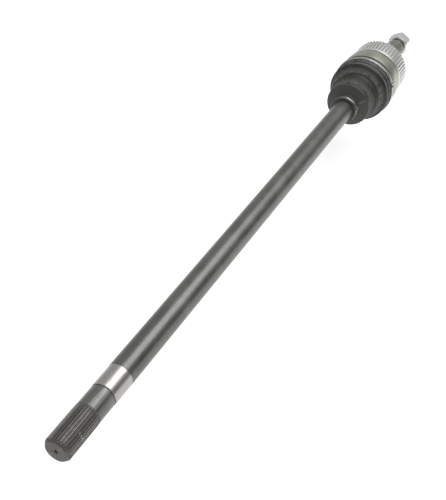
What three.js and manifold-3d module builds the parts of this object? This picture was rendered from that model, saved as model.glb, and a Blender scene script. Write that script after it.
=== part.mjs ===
// Front axle shaft of a solid-axle four-wheel-drive car: a long shaft with a spline for the
// differential at one end, and a six-ball constant-velocity joint with its rubber boot, toothed
// speed ring and splined hub stub at the other.
// Millimetres. +X runs along the axle from the differential spline to the hub nut, +Z is up, and
// the origin is the centre of the differential end face. The joint is drawn straight.
import * as THREE from 'three';
import { mergeVertices } from 'three/addons/utils/BufferGeometryUtils.js';
import Module from 'manifold-3d';

const wasm = await Module();
wasm.setup();

// ---- driving dimensions ----

const ROUND = 28;                // facets round a turned body, one to each spline tooth
const GAP = 0.3;                 // clearance between pieces that touch
const TURN = 2 * Math.PI;

// long shaft
const SHAFT_R = 15;
const END_FACE_R = 12.2;
const SMALL_CHAMFER = 0.6;
const CENTRE_DRILL = { mouthR: 2.6, boreR: 1, coneDepth: 2.8, depth: 5 };
const SPLINE_TEETH = 28;
const DIFF_SPLINE = { tipR: 14.6, rootR: 13.3, end: 47, runOut: 51, taper: 3.5 };
const SHAFT_NECK_R = 14.4;
const JOURNAL = { start: 78, end: 108, r: 14.8, undercutR: 13.6, undercut: 1.6 };
const JOINT_NECK = { r: 12.8, start: 756, taper: 12 };
const ROOT_OVERLAP = 0.5;        // how far spline teeth reach down into the core

// ball joint, all about one centre
const JOINT_X = 822;
const BALL_COUNT = 6;
const BALL_R = 9;
const PITCH_R = 28;              // circle that the ball centres lie on
const RACE = { sphereR: 25.2, halfWidth: 12.5 };
const CAGE = { innerR: 25.7, outerR: 31.5, halfWidth: 15 };
const CAGE_WINDOW = { axial: 18.7, around: 21, cornerR: 4 };
const CAVITY_R = 32;             // spherical inside of the bell
const TRACK = { radial: 9.7, around: 11.4, halfLength: 21 };
const RACE_SPLINE = { tipR: 12.9, rootR: 12 };
const SNAP_RING = { innerR: 11.6, outerR: 14.9, width: 1.4, gapAngle: 0.5 };
const SHAFT_TIP = 17;            // how far the shaft reaches past the joint centre

// bell and stub
const MOUTH_X = 804;
const MOUTH = { coneStart: -11.5, coneR: 38 };
const BOOT_SEAT_R = 44;
const BAND = { start: 816, end: 841.5, r: 46.8, chamfer: 1.4 };
const BELL_GROOVE_R = 41;
const BELL_BACK_X = 883;
const SHOULDER = { x: 890, r: 25 };
const STUB_R = 15.2;
const STUB_SPLINE = { start: 926, end: 968, tipR: 15, rootR: 13.6, runOut: 1.5 };
const THREAD = { r: 11, relief: 0.9, chamfer: 1.6 };
const AXLE_END_X = 998;

// toothed speed ring
const TONE = { start: 848, end: 886, lip: 5.5, teeth: 52, tipR: 44.6, rootR: 42.9, boreR: 39.3 };

// hub nut
const NUT = { start: 974, height: 21, acrossFlats: 32, chamfer: 2.2, turn: Math.PI / 60 };

// rubber boot, given as its outer skin from the small end to the large end
const RUBBER = 2.6;              // wall thickness
const CUFF = { start: 723.5, r: 18, end: 736 };
const FOLD_RIMS = [
  { x: 742.5, r: 33.6, round: 2.6 },
  { x: 766, r: 37.5, round: 2.8 },
  { x: 788, r: 46.4, round: 3.2 },
];
const FOLD_VALLEYS = [
  { x: 754, r: 27.5 },
  { x: 777, r: 33.5 },
  { x: 799, r: 44.2 },
];
const BOOT_SPLITS = [757, 777, 798];
const LARGE_CUFF = { start: 803, end: 815, r: 47 };
const SMALL_CLAMP = { start: 726, width: 5, thick: 0.9, seat: 0.6 };
const LARGE_CLAMP = { start: 804.8, width: 6.6, thick: 1.2, seat: 0.3 };
const CLAMP_EAR = { around: 7, high: 2.4, holeAround: 4, holeHigh: 1, lift: 0.9 };
const EAR_ANGLE = 0.41 * Math.PI; // from the top towards -Y

// ---- finishes ----

const finish = (color, roughness, metalness) =>
  new THREE.MeshStandardMaterial({ color, roughness, metalness });
const blackSteel = finish(0x4a4b49, 0.45, 0.8);
const groundSteel = finish(0xb9b6b0, 0.25, 1);
const oiledSteel = finish(0x73736a, 0.4, 0.9);
const silverSteel = finish(0xb4b7b4, 0.35, 1);
const bandSteel = finish(0x9a9a96, 0.3, 1);
const rubber = finish(0x2c2c2b, 0.6, 0);

// ---- solids ----

// A closed three.js geometry as a solid for cutting and joining.
function solid(geometry) {
  const plain = geometry.clone();
  plain.deleteAttribute('normal');
  plain.deleteAttribute('uv');
  const merged = mergeVertices(plain, 1e-4);
  return new wasm.Manifold(new wasm.Mesh({
    numProp: 3,
    vertProperties: Float32Array.from(merged.attributes.position.array),
    triVerts: Uint32Array.from(merged.index.array),
  }));
}

// A body turned about the axle. Its outline is a list of [x, radius] points that goes out from the
// axis, along +X and back to the axis, or round a closed loop along +X on its outer side.
function turned(outline, facets = ROUND) {
  const points = outline.map(([x, r]) => new THREE.Vector2(r, x));
  const onAxis = outline[0][1] === 0 && outline[outline.length - 1][1] === 0;
  if (!onAxis) points.push(points[0].clone());
  return solid(new THREE.LatheGeometry(points, facets).rotateZ(-Math.PI / 2));
}

// A flat outline drawn in the YZ plane and pushed along the axle from x to x + length.
function pushed(shape, x, length) {
  const settings = { depth: length, bevelEnabled: false, curveSegments: 6 };
  return solid(new THREE.ExtrudeGeometry(shape, settings).rotateY(Math.PI / 2).translate(x, 0, 0));
}

// Points on a circle round (x, r), from one angle to another, with 0 along +X.
function arc(x, r, radius, from, to, steps) {
  return Array.from({ length: steps + 1 }, (_, i) => {
    const angle = from + (to - from) * i / steps;
    return [x + radius * Math.cos(angle), r + radius * Math.sin(angle)];
  });
}

// Outline of a wheel of equal straight-sided teeth. tip and flank are shares of one pitch.
function toothedShape(count, rootR, tipR, tip, flank) {
  const pitch = TURN / count;
  const half = tip / 2;
  const corners = [[-half - flank, rootR], [-half, tipR], [half, tipR], [half + flank, rootR]];
  const points = [];
  for (let i = 0; i < count; i += 1) {
    for (const [share, r] of corners) {
      const angle = (i + share) * pitch;
      points.push(new THREE.Vector2(r * Math.cos(angle), r * Math.sin(angle)));
    }
  }
  return new THREE.Shape(points);
}

const turnedAbout = (body, angle) => body.rotate([THREE.MathUtils.radToDeg(angle), 0, 0]);

// ---- long shaft ----

const centreDrill = (face, inward) => {
  const { mouthR, boreR, coneDepth, depth } = CENTRE_DRILL;
  return [[face + inward * depth, 0], [face + inward * depth, boreR],
    [face + inward * coneDepth, boreR], [face, mouthR]];
};

function axleShaft() {
  const tip = JOINT_X + SHAFT_TIP;
  const slotWidth = SNAP_RING.width + 2 * GAP;
  const slotR = SNAP_RING.innerR - GAP;
  const groove = (x) => [[x, RACE_SPLINE.rootR], [x, slotR],
    [x + slotWidth, slotR], [x + slotWidth, RACE_SPLINE.rootR]];
  const stopGroove = JOINT_X - RACE.halfWidth - slotWidth;
  const clipGroove = JOINT_X + RACE.halfWidth;
  const undercutX = JOURNAL.start - JOURNAL.undercut;
  const core = turned([
    ...centreDrill(0, 1),
    [0, END_FACE_R], [JOURNAL.undercut, DIFF_SPLINE.rootR],
    [DIFF_SPLINE.end, DIFF_SPLINE.rootR], [DIFF_SPLINE.runOut, SHAFT_NECK_R],
    [undercutX, SHAFT_NECK_R], [undercutX, JOURNAL.undercutR],
    [JOURNAL.start, JOURNAL.undercutR], [JOURNAL.start, JOURNAL.r - SMALL_CHAMFER],
    [JOURNAL.start + SMALL_CHAMFER, JOURNAL.r], [JOURNAL.end, JOURNAL.r],
    [JOURNAL.end + SMALL_CHAMFER, SHAFT_R],
    [JOINT_NECK.start - JOINT_NECK.taper, SHAFT_R], [JOINT_NECK.start, JOINT_NECK.r],
    [stopGroove - 4, JOINT_NECK.r], [stopGroove - 3, RACE_SPLINE.rootR],
    ...groove(stopGroove), ...groove(clipGroove),
    [tip - 1, RACE_SPLINE.rootR], [tip, RACE_SPLINE.rootR - 1], [tip, 0],
  ]);
  const outsideTips = DIFF_SPLINE.tipR + 0.02;
  const diffTeeth = pushed(
    toothedShape(SPLINE_TEETH, DIFF_SPLINE.rootR - ROOT_OVERLAP, DIFF_SPLINE.tipR, 0.3, 0.2),
    0, DIFF_SPLINE.runOut);
  const diffEnvelope = turned([[SMALL_CHAMFER, 0], [SMALL_CHAMFER, END_FACE_R + 0.3],
    [DIFF_SPLINE.taper, outsideTips], [DIFF_SPLINE.end - 1, outsideTips],
    [DIFF_SPLINE.runOut, DIFF_SPLINE.rootR], [DIFF_SPLINE.runOut, 0]]);
  // the teeth stay clear of the centre drilling
  const middle = turned([[0, 0], [0, END_FACE_R - 1], [CENTRE_DRILL.depth + 1, END_FACE_R - 1],
    [CENTRE_DRILL.depth + 1, 0]]);
  const raceTeeth = pushed(
    toothedShape(SPLINE_TEETH, RACE_SPLINE.rootR - ROOT_OVERLAP, RACE_SPLINE.tipR, 0.3, 0.15),
    stopGroove + slotWidth, clipGroove - stopGroove - slotWidth);
  return core.add(diffTeeth.intersect(diffEnvelope).subtract(middle)).add(raceTeeth);
}

// ---- inside the joint ----

// One ball track: a ring about the joint centre with an oval section, which leaves the ball room
// to swing sideways a little as the joint bends. It lies in the plane through the axle and +Z.
function trackRing() {
  const sides = 12;
  const section = Array.from({ length: sides }, (_, i) => {
    const angle = i * TURN / sides;
    return new THREE.Vector2(
      PITCH_R + TRACK.radial * Math.cos(angle), TRACK.around * Math.sin(angle));
  });
  section.push(section[0].clone());
  const limit = 2 * TRACK.halfLength;
  const stretch = solid(new THREE.BoxGeometry(limit, 2 * PITCH_R, 2 * PITCH_R)
    .translate(0, 0, PITCH_R));
  return solid(new THREE.LatheGeometry(section, 32)).intersect(stretch).translate([JOINT_X, 0, 0]);
}

const track = trackRing();
const ballAngles = Array.from({ length: BALL_COUNT }, (_, i) => i * TURN / BALL_COUNT);

// The body with the same cut made at each ball.
function cutAtBalls(body, cut) {
  return ballAngles.reduce((rest, angle) => rest.subtract(turnedAbout(cut, angle)), body);
}

function innerRace() {
  const edge = Math.asin(RACE.halfWidth / RACE.sphereR);
  const ball = turned([[JOINT_X - RACE.halfWidth, 0],
    ...arc(JOINT_X, 0, RACE.sphereR, Math.PI / 2 + edge, Math.PI / 2 - edge, 6),
    [JOINT_X + RACE.halfWidth, 0]]);
  const bore = pushed(
    toothedShape(SPLINE_TEETH, RACE_SPLINE.rootR + GAP, RACE_SPLINE.tipR + GAP, 0.5, 0.15),
    JOINT_X - RACE.halfWidth - 1, 2 * RACE.halfWidth + 2);
  return cutAtBalls(ball, track).subtract(bore);
}

function roundedBar(width, height, cornerR) {
  const [w, h] = [width / 2 - cornerR, height / 2 - cornerR];
  const shape = new THREE.Shape();
  shape.absarc(w, h, cornerR, 0, Math.PI / 2);
  shape.absarc(-w, h, cornerR, Math.PI / 2, Math.PI);
  shape.absarc(-w, -h, cornerR, Math.PI, 1.5 * Math.PI);
  shape.absarc(w, -h, cornerR, 1.5 * Math.PI, TURN);
  return shape;
}

function ballCage() {
  const outerEdge = Math.asin(CAGE.halfWidth / CAGE.outerR);
  const innerEdge = Math.asin(CAGE.halfWidth / CAGE.innerR);
  const upright = Math.PI / 2;
  const shell = turned([
    ...arc(JOINT_X, 0, CAGE.outerR, upright + outerEdge, upright - outerEdge, 6),
    ...arc(JOINT_X, 0, CAGE.innerR, upright - innerEdge, upright + innerEdge, 6),
  ]);
  const settings = { depth: CAGE.outerR, bevelEnabled: false, curveSegments: 3 };
  const window = solid(new THREE.ExtrudeGeometry(
    roundedBar(CAGE_WINDOW.axial, CAGE_WINDOW.around, CAGE_WINDOW.cornerR), settings)
    .translate(JOINT_X, 0, PITCH_R / 2));
  return cutAtBalls(shell, window);
}

// An open wire ring that springs into a groove of the shaft at x.
function snapRing(x) {
  const ring = turned([[x, SNAP_RING.innerR], [x, SNAP_RING.outerR],
    [x + SNAP_RING.width, SNAP_RING.outerR], [x + SNAP_RING.width, SNAP_RING.innerR]], 24);
  const mouth = SNAP_RING.outerR * SNAP_RING.gapAngle;
  const cut = solid(new THREE.BoxGeometry(2 * SNAP_RING.width, mouth, SNAP_RING.outerR)
    .translate(x + SNAP_RING.width / 2, 0, SNAP_RING.outerR));
  return ring.subtract(cut);
}

// ---- bell and hub stub ----

function bellHousing() {
  const boreSeatR = TONE.boreR - GAP;
  const reliefR = THREAD.r - THREAD.relief;
  const body = turned([
    [MOUTH_X, 0],
    [MOUTH_X, BOOT_SEAT_R - SMALL_CHAMFER], [MOUTH_X + SMALL_CHAMFER, BOOT_SEAT_R],
    [BAND.start, BOOT_SEAT_R], [BAND.start, BAND.r - SMALL_CHAMFER],
    [BAND.start + SMALL_CHAMFER, BAND.r], [BAND.end - BAND.chamfer, BAND.r],
    [BAND.end, BAND.r - BAND.chamfer], [BAND.end, BELL_GROOVE_R],
    [TONE.start - GAP, BELL_GROOVE_R], [TONE.start - GAP, boreSeatR],
    [BELL_BACK_X - 1.5, boreSeatR], [BELL_BACK_X, boreSeatR - 1.7],
    [BELL_BACK_X + 1, SHOULDER.r + 4], [SHOULDER.x - 2, SHOULDER.r], [SHOULDER.x, SHOULDER.r],
    [SHOULDER.x, STUB_R + 1], [SHOULDER.x + 1, STUB_R],
    [STUB_SPLINE.start - 2, STUB_R], [STUB_SPLINE.start, STUB_SPLINE.rootR],
    [STUB_SPLINE.end, STUB_SPLINE.rootR], [STUB_SPLINE.end + 2, reliefR],
    [STUB_SPLINE.end + 4, reliefR], [STUB_SPLINE.end + 5, THREAD.r],
    [AXLE_END_X - THREAD.chamfer, THREAD.r], [AXLE_END_X, THREAD.r - THREAD.chamfer],
    ...centreDrill(AXLE_END_X, -1).reverse(),
  ]);
  const toothStart = STUB_SPLINE.start - 1;
  const outsideTips = STUB_SPLINE.tipR + 0.02;
  const teeth = pushed(
    toothedShape(SPLINE_TEETH, STUB_SPLINE.rootR - ROOT_OVERLAP, STUB_SPLINE.tipR, 0.3, 0.2),
    toothStart, STUB_SPLINE.end - toothStart);
  const envelope = turned([[toothStart, 0], [toothStart, outsideTips],
    [STUB_SPLINE.end - STUB_SPLINE.runOut, outsideTips], [STUB_SPLINE.end, STUB_SPLINE.rootR],
    [STUB_SPLINE.end, 0]]);
  const coneX = JOINT_X + MOUTH.coneStart;
  const coneStartR = Math.sqrt(CAVITY_R ** 2 - MOUTH.coneStart ** 2);
  const coneAngle = Math.atan2(coneStartR, MOUTH.coneStart);
  const cavity = turned([[MOUTH_X - 1, 0], [MOUTH_X - 1, MOUTH.coneR], [MOUTH_X, MOUTH.coneR],
    [coneX, coneStartR], ...arc(JOINT_X, 0, CAVITY_R, coneAngle, 0, 10).slice(1, -1),
    [JOINT_X + CAVITY_R, 0]]);
  return cutAtBalls(body.add(teeth.intersect(envelope)).subtract(cavity), track);
}

function toneRing() {
  const lipEnd = TONE.start + TONE.lip;
  const teeth = pushed(toothedShape(TONE.teeth, TONE.rootR, TONE.tipR, 0.5, 0.06),
    lipEnd, TONE.end - lipEnd);
  const lip = turned([[TONE.start, 0], [TONE.start, TONE.tipR - SMALL_CHAMFER],
    [TONE.start + SMALL_CHAMFER, TONE.tipR],
    [lipEnd, TONE.tipR], [lipEnd, 0]], TONE.teeth);
  const bore = turned([[TONE.start - 1, 0], [TONE.start - 1, TONE.boreR],
    [TONE.end + 1, TONE.boreR], [TONE.end + 1, 0]]);
  return teeth.add(lip).subtract(bore);
}

function hubNut() {
  const cornerR = NUT.acrossFlats / 2 / Math.cos(Math.PI / 6);
  const corners = Array.from({ length: 6 }, (_, i) => {
    const angle = i * TURN / 6 + NUT.turn;
    return new THREE.Vector2(cornerR * Math.cos(angle), cornerR * Math.sin(angle));
  });
  const faceR = NUT.acrossFlats / 2 - SMALL_CHAMFER;
  const [near, far] = [NUT.start, NUT.start + NUT.height];
  const envelope = turned([[near, 0], [near, faceR], [near + NUT.chamfer, cornerR + 0.5],
    [far - NUT.chamfer, cornerR + 0.5], [far, faceR], [far, 0]], 36);
  const mouthR = THREAD.r + THREAD.chamfer;
  const bore = turned([[near - 1, 0], [near - 1, mouthR], [near + 1.3, THREAD.r + GAP],
    [far - 1.3, THREAD.r + GAP], [far + 1, mouthR], [far + 1, 0]]);
  return pushed(new THREE.Shape(corners), near, NUT.height).intersect(envelope).subtract(bore);
}

// ---- boot and its clamps ----

// Outer skin of the whole boot as [x, r] points: a cuff, three folds with rounded rims, a cuff.
function bootSkin() {
  const points = [[CUFF.start, CUFF.r], [CUFF.end, CUFF.r + 0.6]];
  FOLD_RIMS.forEach((rim, i) => {
    const lead = i === 0 ? 0.98 * Math.PI : 0.8 * Math.PI;
    points.push(...arc(rim.x, rim.r - rim.round, rim.round, lead, 0.12 * Math.PI, 4));
    points.push([FOLD_VALLEYS[i].x, FOLD_VALLEYS[i].r]);
  });
  points.push([LARGE_CUFF.start, LARGE_CUFF.r], [LARGE_CUFF.end, LARGE_CUFF.r]);
  return points;
}

// Inner skin: the outer one moved in by the wall, and held off the shaft and the bell at the cuffs.
function bootLining() {
  const points = [[CUFF.start, SHAFT_R + GAP], [CUFF.end + RUBBER, SHAFT_R + GAP]];
  FOLD_RIMS.forEach((rim, i) => {
    points.push([rim.x - (i === 0 ? 1 : 0), rim.r - rim.round]);
    points.push([FOLD_VALLEYS[i].x, FOLD_VALLEYS[i].r - RUBBER]);
  });
  const seat = MOUTH_X - GAP;
  points.pop();
  points.push([seat - 1.5, LARGE_CUFF.r - 2 * RUBBER], [seat, LARGE_CUFF.r - 2 * RUBBER],
    [seat, BOOT_SEAT_R + GAP], [LARGE_CUFF.end, BOOT_SEAT_R + GAP]);
  return points;
}

function bootLengths() {
  const boot = turned([...bootSkin(), ...bootLining().reverse()]);
  const edges = [CUFF.start - 1, ...BOOT_SPLITS, LARGE_CUFF.end + 1];
  const reach = BAND.r + 10;
  return edges.slice(1).map((end, i) => {
    const start = edges[i] + (i > 0 ? GAP : 0);
    return boot.intersect(turned([[start, 0], [start, reach], [end, reach], [end, 0]]));
  });
}

// A steel band round a cuff, with the raised ear that is pinched to tighten it.
function clampBand({ start, width, thick, seat }, cuffR) {
  const { around, high, holeAround, holeHigh, lift } = CLAMP_EAR;
  const innerR = cuffR + seat;
  const outerR = innerR + thick;
  const band = turned([[start, innerR], [start, outerR],
    [start + width, outerR], [start + width, innerR]]);
  const block = (length, across, height) => solid(
    new THREE.BoxGeometry(length, across, height).translate(start + width / 2, 0, outerR + lift));
  const ear = block(width - 1, around, high).subtract(block(width + 2, holeAround, holeHigh));
  return band.add(turnedAbout(ear, EAR_ANGLE));
}

// ---- assembly ----

const axle = new THREE.Group();
axle.name = 'cv_axle';

function place(name, body, material) {
  const { vertProperties, triVerts } = body.getMesh();
  const geometry = new THREE.BufferGeometry();
  geometry.setAttribute('position', new THREE.BufferAttribute(Float32Array.from(vertProperties), 3));
  geometry.setIndex(new THREE.BufferAttribute(Uint32Array.from(triVerts), 1));
  geometry.computeVertexNormals();
  const mesh = new THREE.Mesh(geometry, material);
  mesh.name = name;
  axle.add(mesh);
}

place('axle_shaft', axleShaft(), blackSteel);
place('inner_race', innerRace(), groundSteel);
place('ball_cage', ballCage(), blackSteel);
place('shaft_stop_ring', snapRing(JOINT_X - RACE.halfWidth - SNAP_RING.width - GAP), bandSteel);
place('shaft_circlip', snapRing(JOINT_X + RACE.halfWidth + GAP), bandSteel);
place('bell_housing', bellHousing(), oiledSteel);
place('tone_ring', toneRing(), silverSteel);
place('hub_nut', hubNut(), silverSteel);

const ballShape = new THREE.SphereGeometry(BALL_R, 12, 8);
ballAngles.forEach((angle, i) => {
  const ball = new THREE.Mesh(ballShape, groundSteel);
  ball.name = `ball_${i + 1}`;
  ball.position.set(JOINT_X, -PITCH_R * Math.sin(angle), PITCH_R * Math.cos(angle));
  axle.add(ball);
});

const BOOT_NAMES = ['boot_small_end', 'boot_second_fold', 'boot_third_fold', 'boot_large_end'];
bootLengths().forEach((length, i) => place(BOOT_NAMES[i], length, rubber));
place('small_boot_clamp', clampBand(SMALL_CLAMP, CUFF.r), bandSteel);
place('large_boot_clamp', clampBand(LARGE_CLAMP, LARGE_CUFF.r), bandSteel);

export default axle;
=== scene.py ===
# %% [markdown]
# # The front axle shaft of a four-wheel-drive car
#
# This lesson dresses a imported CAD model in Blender. The object is one long steel shaft. Its near
# end has a spline that slides into the differential. Its far end has a ball joint in a rubber
# boot, a toothed speed ring, and a splined stub with a nut that holds the wheel hub.
#
# The frame comes first. It is the CAD model, and it fixes every place and size, so it is loaded
# and measured before anything is made. All the pieces below are placed in that same frame.

# %% Load the frame
import math

import bmesh
import bpy
import numpy as np
from mathutils import Matrix, Vector


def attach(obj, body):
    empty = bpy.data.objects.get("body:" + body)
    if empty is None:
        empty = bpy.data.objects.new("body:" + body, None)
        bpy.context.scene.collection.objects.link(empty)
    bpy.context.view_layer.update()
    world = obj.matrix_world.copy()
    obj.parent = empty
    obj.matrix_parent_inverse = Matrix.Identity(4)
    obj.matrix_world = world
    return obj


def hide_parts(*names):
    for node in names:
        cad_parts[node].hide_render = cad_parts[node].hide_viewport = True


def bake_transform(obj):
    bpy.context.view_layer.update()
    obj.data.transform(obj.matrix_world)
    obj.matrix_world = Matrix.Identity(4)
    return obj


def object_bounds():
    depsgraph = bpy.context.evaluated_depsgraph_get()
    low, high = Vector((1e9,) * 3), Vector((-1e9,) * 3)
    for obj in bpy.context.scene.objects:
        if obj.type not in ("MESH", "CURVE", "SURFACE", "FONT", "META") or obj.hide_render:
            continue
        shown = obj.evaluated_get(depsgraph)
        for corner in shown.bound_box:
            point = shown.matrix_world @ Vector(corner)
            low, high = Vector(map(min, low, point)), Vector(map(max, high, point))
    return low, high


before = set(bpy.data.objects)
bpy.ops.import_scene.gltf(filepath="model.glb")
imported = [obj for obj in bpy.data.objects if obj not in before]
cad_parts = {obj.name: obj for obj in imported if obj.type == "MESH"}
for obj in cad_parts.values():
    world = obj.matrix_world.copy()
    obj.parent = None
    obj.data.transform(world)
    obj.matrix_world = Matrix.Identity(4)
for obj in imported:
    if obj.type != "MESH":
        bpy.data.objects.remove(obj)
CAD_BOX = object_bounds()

print("length in mm:", round(1000 * (CAD_BOX[1].x - CAD_BOX[0].x), 1))

# %% [markdown]
# ## The camera
#
# The camera stands over the spline end and looks along the shaft, so the far joint looks small.
# A lens of 63 mm gives that strong perspective. The camera is made first, because each shape and
# finish is judged from it.

# %% Camera
camera = bpy.data.objects.new("camera", bpy.data.cameras.new("camera"))
bpy.context.scene.collection.objects.link(camera)
camera.location = (-0.3909, -0.3713, 0.6279)
LOOK = Vector((0.7055, 0.3626, -0.6089))
camera.rotation_euler = LOOK.to_track_quat("-Z", "Y").to_euler()
camera.data.lens = 63
camera.data.clip_start, camera.data.clip_end = 0.02, 50
bpy.context.scene.camera = camera
print("camera to far end in m:", round((Vector((0.998, 0, 0)) - camera.location).length, 2))

# %% [markdown]
# ## Turning a piece, as on a lathe
#
# Nearly every piece here is round about the one axle line. Blender has a Screw modifier for that,
# but a spline, a thread or a ball track needs a radius that also changes with the angle. So a
# piece is a grid of points: one row for each station along the axle, and one column for each
# angle. The grid closes round the axle, and a row that has no radius becomes one point.
#
# Each mesh is closed. Corners sharper than 32 degrees keep a crisp edge, and the rest is smooth.
# Every point also remembers where it was made, so that a finish stays on the rubber as it bends.

# %% Grid to mesh
MM = 0.001
CRISP = math.radians(32)


def finish_mesh(name, verts, faces):
    mesh = bpy.data.meshes.new(name)
    mesh.from_pydata(verts, [], faces)
    work = bmesh.new()
    work.from_mesh(mesh)
    bmesh.ops.recalc_face_normals(work, faces=work.faces)
    work.to_mesh(mesh)
    work.free()
    return as_piece(name, mesh)


def as_piece(name, mesh):
    mesh.shade_smooth()
    mesh.set_sharp_from_angle(angle=CRISP)
    made = mesh.attributes.new("made_at", "FLOAT_VECTOR", "POINT")
    places = np.empty(len(mesh.vertices) * 3, np.float32)
    mesh.vertices.foreach_get("co", places)
    made.data.foreach_set("vector", places / MM)
    piece = bpy.data.objects.new(name, mesh)
    bpy.context.scene.collection.objects.link(piece)
    return piece


def grid_faces(rows, columns):
    corner = np.arange(rows * columns).reshape(rows, columns)
    beside = np.roll(corner, -1, axis=1)
    quads = np.stack([corner[:-1], beside[:-1], beside[1:], corner[1:]], axis=-1)
    return quads.reshape(-1, 4)


def turn(name, x, r, angles, loop=False):
    """x and r hold one row for each station and one column for each angle, in mm.
    A loop closes on itself, as a ring does. Otherwise the end rows are points on the axle."""
    points = np.stack([x, r * np.cos(angles), r * np.sin(angles)], axis=-1) * MM
    columns = len(angles)
    if loop:
        faces = grid_faces(len(points) + 1, columns) % (columns * len(points))
        return finish_mesh(name, points.reshape(-1, 3).tolist(), faces.tolist())
    body = points[1:-1]
    near_pole, far_pole = columns * len(body), columns * len(body) + 1
    verts = body.reshape(-1, 3).tolist() + [points[0, 0].tolist(), points[-1, 0].tolist()]
    faces = grid_faces(len(body), columns).tolist()
    for i in range(columns):
        j = (i + 1) % columns
        faces.append([near_pole, j, i])
        faces.append([far_pole, near_pole - columns + i, near_pole - columns + j])
    return finish_mesh(name, verts, faces)


def stations(rows, heights):
    """Rows are (x, low r, high r) in mm: the radii at tooth height 0 and at tooth height 1."""
    table = np.array(rows, float)
    low, high = table[:, 1:2], table[:, 2:3]
    return np.repeat(table[:, :1], len(heights), axis=1), low + (high - low) * heights[None, :]


def along(*stretches):
    """Puts stretches of stations, each an (x, r) pair, one after the other."""
    return [np.concatenate(parts) for parts in zip(*stretches)]


def even_angles(count):
    return np.arange(count) * 2 * math.pi / count


def turn_plain(name, rows, columns, loop=False):
    """Turns (x, r) rows into a piece whose radius is the same all round."""
    rows = [(x, r, r) for x, r, *_ in rows]
    return turn(name, *stations(rows, np.zeros(columns)), even_angles(columns), loop=loop)


print("grid tools ready, crisp above", round(math.degrees(CRISP)), "degrees")

# %% [markdown]
# ## Rounding the corners of an outline
#
# No turned corner is perfectly sharp: a tool leaves a small radius, or a chamfer is cut to take
# off the burr. That thin edge is what catches the light. A Bevel modifier could do it after the
# turning, but rounding the outline itself is exact and cannot go wrong on a fine grid.

# %% Outline corners
def ease(corners, steps=4, closed=False):
    """Corners are (x, r, radius) in mm. Gives the same outline with each corner rounded."""
    count = len(corners)
    points = []
    for i, (x, r, radius) in enumerate(corners):
        here = Vector((x, r))
        if radius <= 0 or (not closed and i in (0, count - 1)):
            points.append((x, r))
            continue
        back = Vector(corners[i - 1][:2]) - here
        ahead = Vector(corners[(i + 1) % count][:2]) - here
        half = back.angle(ahead) / 2
        reach = min(radius / math.tan(half), 0.48 * back.length, 0.48 * ahead.length)
        size = reach * math.tan(half)
        inward = (back.normalized() + ahead.normalized()).normalized()
        centre = here + inward * (size / math.sin(half))
        start = here + back.normalized() * reach - centre
        sweep = start.angle_signed(here + ahead.normalized() * reach - centre)
        for k in range(steps + 1):
            points.append(tuple(centre + Matrix.Rotation(-sweep * k / steps, 2) @ start))
    return points


def plain(corners, closed=False):
    return [(x, r, r) for x, r in ease(corners, closed=closed)]


print("a square corner of radius 1:", [tuple(round(v, 2) for v in p) for p in
                                     ease([(0, 0, 0), (0, 5, 1), (5, 5, 0)])])

# %% [markdown]
# ## Spline teeth
#
# The spline at each end of the shaft is a ring of equal straight teeth. A tooth could be drawn
# once and copied with an Array modifier, but then the teeth and the shaft would be separate
# shells. Here the columns of the grid carry the tooth instead. Each tooth has its columns where
# its curved flank needs them, and each column has a height: 0 in the root and 1 on the tip.

# %% Tooth columns
SPLINE_FLANK = [(0.0, 0.0), (0.09, 0.0), (0.135, 0.05), (0.185, 0.3), (0.24, 0.63), (0.285, 0.9),
                (0.31, 0.98), (0.345, 1.0)]


def toothed(count, half_tooth):
    """half_tooth is (share of the pitch, height) from mid root to the tip. Gives angles, heights."""
    shares = [s for s, _ in half_tooth] + [1 - s for s, _ in reversed(half_tooth[1:])]
    heights = [h for _, h in half_tooth] + [h for _, h in reversed(half_tooth[1:])]
    angles = [(i + s) * 2 * math.pi / count for i in range(count) for s in shares]
    return np.array(angles), np.array(heights * count)


SPLINE_TEETH = 28
spline_angles, spline_heights = toothed(SPLINE_TEETH, SPLINE_FLANK)
print(SPLINE_TEETH, "teeth in", len(spline_angles), "columns")

# %% [markdown]
# ## The long shaft
#
# The shaft is one forging. From the near end it has a flat face with a centre drilling, 28 teeth
# with a chamfer, a plain neck, a narrow undercut, and a ground journal where an oil seal runs.
# Then comes the long body, and inside the boot a neck, a second spline and two ring grooves.
#
# It is one outline turned with the spline columns. Only rows on a spline have a different radius
# at root and tip, so the teeth fade into the neck where the cutter ran out, as they really do.

# %% Long shaft
JOINT_X = 822
RING_WIDTH = 1.4
STOP_GROOVE, CLIP_GROOVE = 807.5, 834.5


def ring_groove(x):
    return plain([(x, 12, 0), (x, 11.3, 0.1), (x + 2, 11.3, 0.1), (x + 2, 12, 0)])


shaft_rows = plain([(5.6, 0, 0), (5, 1, 0.1), (2.8, 1, 0.2), (0.25, 2.45, 0.15), (0, 2.9, 0.15),
                    (0, 12.1, 0.25), (0.3, 12.4, 0)])
shaft_rows += [(1.6, 13.3, 13.35), (3.3, 13.3, 14.5), (3.8, 13.3, 14.6), (46, 13.3, 14.6),
               (47.2, 13.36, 14.57), (48.4, 13.56, 14.52), (49.6, 13.86, 14.47), (50.6, 14.15, 14.42)]
shaft_rows += plain([(51.2, 14.35, 0), (76.4, 14.4, 0.2), (76.4, 13.6, 0.25), (78, 13.6, 0.25),
                     (78, 14.3, 0.15), (78.5, 14.8, 0.25), (107.9, 14.8, 0.1), (108.3, 15, 0.3),
                     (744, 15, 3), (756, 12.8, 4), (803, 12.8, 0.4), (804.5, 12, 0.3), (806.5, 12, 0)])
shaft_rows += ring_groove(STOP_GROOVE)
shaft_rows += [(810.2, 12, 12.1), (811, 12, 12.9), (833.2, 12, 12.9), (834, 12, 12.1)]
shaft_rows += ring_groove(CLIP_GROOVE)
shaft_rows += plain([(837.5, 12, 0), (839, 12, 1), (839, 0, 0)])
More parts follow.
